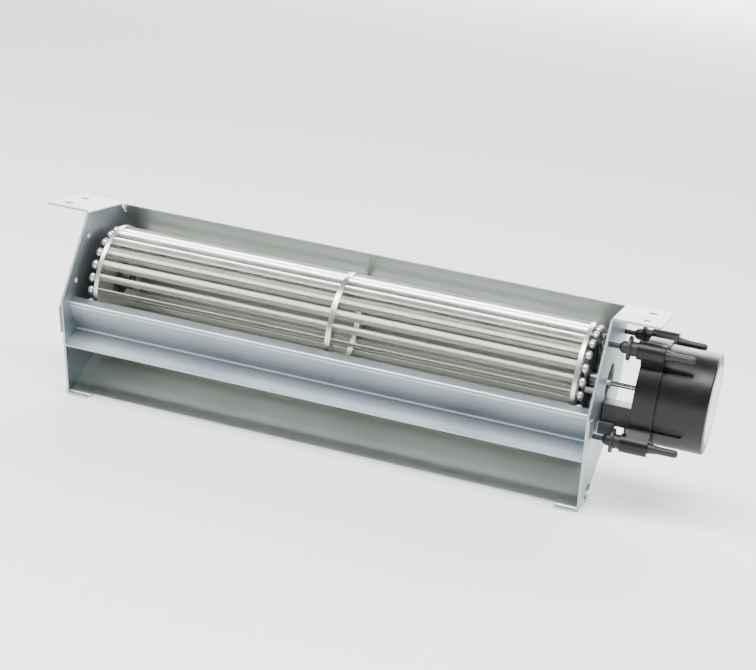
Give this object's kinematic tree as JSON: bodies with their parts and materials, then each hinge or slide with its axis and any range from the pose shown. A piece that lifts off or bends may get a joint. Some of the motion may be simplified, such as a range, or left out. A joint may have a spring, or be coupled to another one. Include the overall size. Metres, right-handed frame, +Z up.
{
  "type": "cross flow fan",
  "caption": "Cross flow fan: long drum impeller of curved blades between folded end plates, with scroll and tongue sheets around it and a flat motor on rubber isolators at its end.",
  "frame": {"origin": "middle of the four flange holes, on the upper face of the two top flanges", "axes": "+X along the impeller towards the motor, +Y to the back, where the scroll sheet is, +Z up, out of the flanges; the fan stands as in the picture, blowing to the front and down"},
  "size_m": [0.3752, 0.0884, 0.1048],
  "materials": {
    "galvanised_sheet": "hot-dip galvanised sheet, smooth spangle",
    "sintered_bronze": "oil-soaked sintered bronze",
    "mount_rubber": "moulded rubber",
    "oiled_felt": "oiled wool felt",
    "motor_plastic": "moulded glass-filled plastic",
    "label_film": "bare pale film",
    "electrical_steel": "stamped stack",
    "copper_winding": "enamelled wire",
    "circuit_board": "solder mask",
    "bearing_steel": "ground and polished",
    "connector_black": "moulded plastic",
    "connector_grey": "moulded plastic",
    "bright_aluminium": "bright rolled strip",
    "acetal_washer": "moulded acetal",
    "hub_nylon": "moulded nylon",
    "ground_steel": "ground",
    "damper_rubber": "moulded rubber",
    "turned_sleeve": "turned and zinc plated",
    "black_screw": "black oxide",
    "balance_putty": "hardened putty",
    "cup_steel": "drawn and zinc plated",
    "ferrite": "pressed ferrite"
  },
  "bodies": {
    "housing": {"left_end_plate": "galvanised_sheet", "right_end_plate": "galvanised_sheet", "volute_sheet": "galvanised_sheet", "tongue_sheet": "galvanised_sheet", "bearing_bush": "sintered_bronze", "bearing_mount": "mount_rubber", "rubber_isolators": "mount_rubber", "oil_felt": "oiled_felt", "motor_frame": "motor_plastic", "motor_can": "motor_plastic", "motor_label": "label_film", "stator_core": "electrical_steel", "stator_coils": "copper_winding", "circuit_board": "circuit_board", "front_bearing_outer": "bearing_steel", "front_bearing_balls": "bearing_steel", "rear_bearing_outer": "bearing_steel", "rear_bearing_balls": "bearing_steel", "connector_block": "connector_black", "connector_cover": "connector_grey"},
    "impeller": {"blade_01": "bright_aluminium", "blade_02": "bright_aluminium", "blade_03": "bright_aluminium", "blade_04": "bright_aluminium", "blade_05": "bright_aluminium", "blade_06": "bright_aluminium", "blade_07": "bright_aluminium", "blade_08": "bright_aluminium", "blade_09": "bright_aluminium", "blade_10": "bright_aluminium", "blade_11": "bright_aluminium", "blade_12": "bright_aluminium", "blade_13": "bright_aluminium", "blade_14": "bright_aluminium", "blade_15": "bright_aluminium", "blade_16": "bright_aluminium", "blade_17": "bright_aluminium", "blade_18": "bright_aluminium", "blade_19": "bright_aluminium", "blade_20": "bright_aluminium", "blade_21": "bright_aluminium", "blade_22": "bright_aluminium", "blade_23": "bright_aluminium", "left_end_disc": "bright_aluminium", "centre_ring": "bright_aluminium", "right_end_disc": "bright_aluminium", "thrust_washer": "acetal_washer", "left_hub": "hub_nylon", "stub_shaft": "ground_steel", "motor_shaft": "ground_steel", "shaft_clip": "ground_steel", "hub_damper": "damper_rubber", "hub_insert": "turned_sleeve", "set_screw": "black_screw", "balancing_putty": "balance_putty", "front_bearing_inner": "bearing_steel", "rear_bearing_inner": "bearing_steel", "rotor_cup": "cup_steel", "ring_magnet": "ferrite"}
  },
  "joints": [
    {"name": "impeller_spin", "type": "hinge", "parent": "housing", "child": "impeller", "pos_m": [0, 0.0062, -0.04], "axis": [1, 0, 0], "continuous": true}
  ]
}
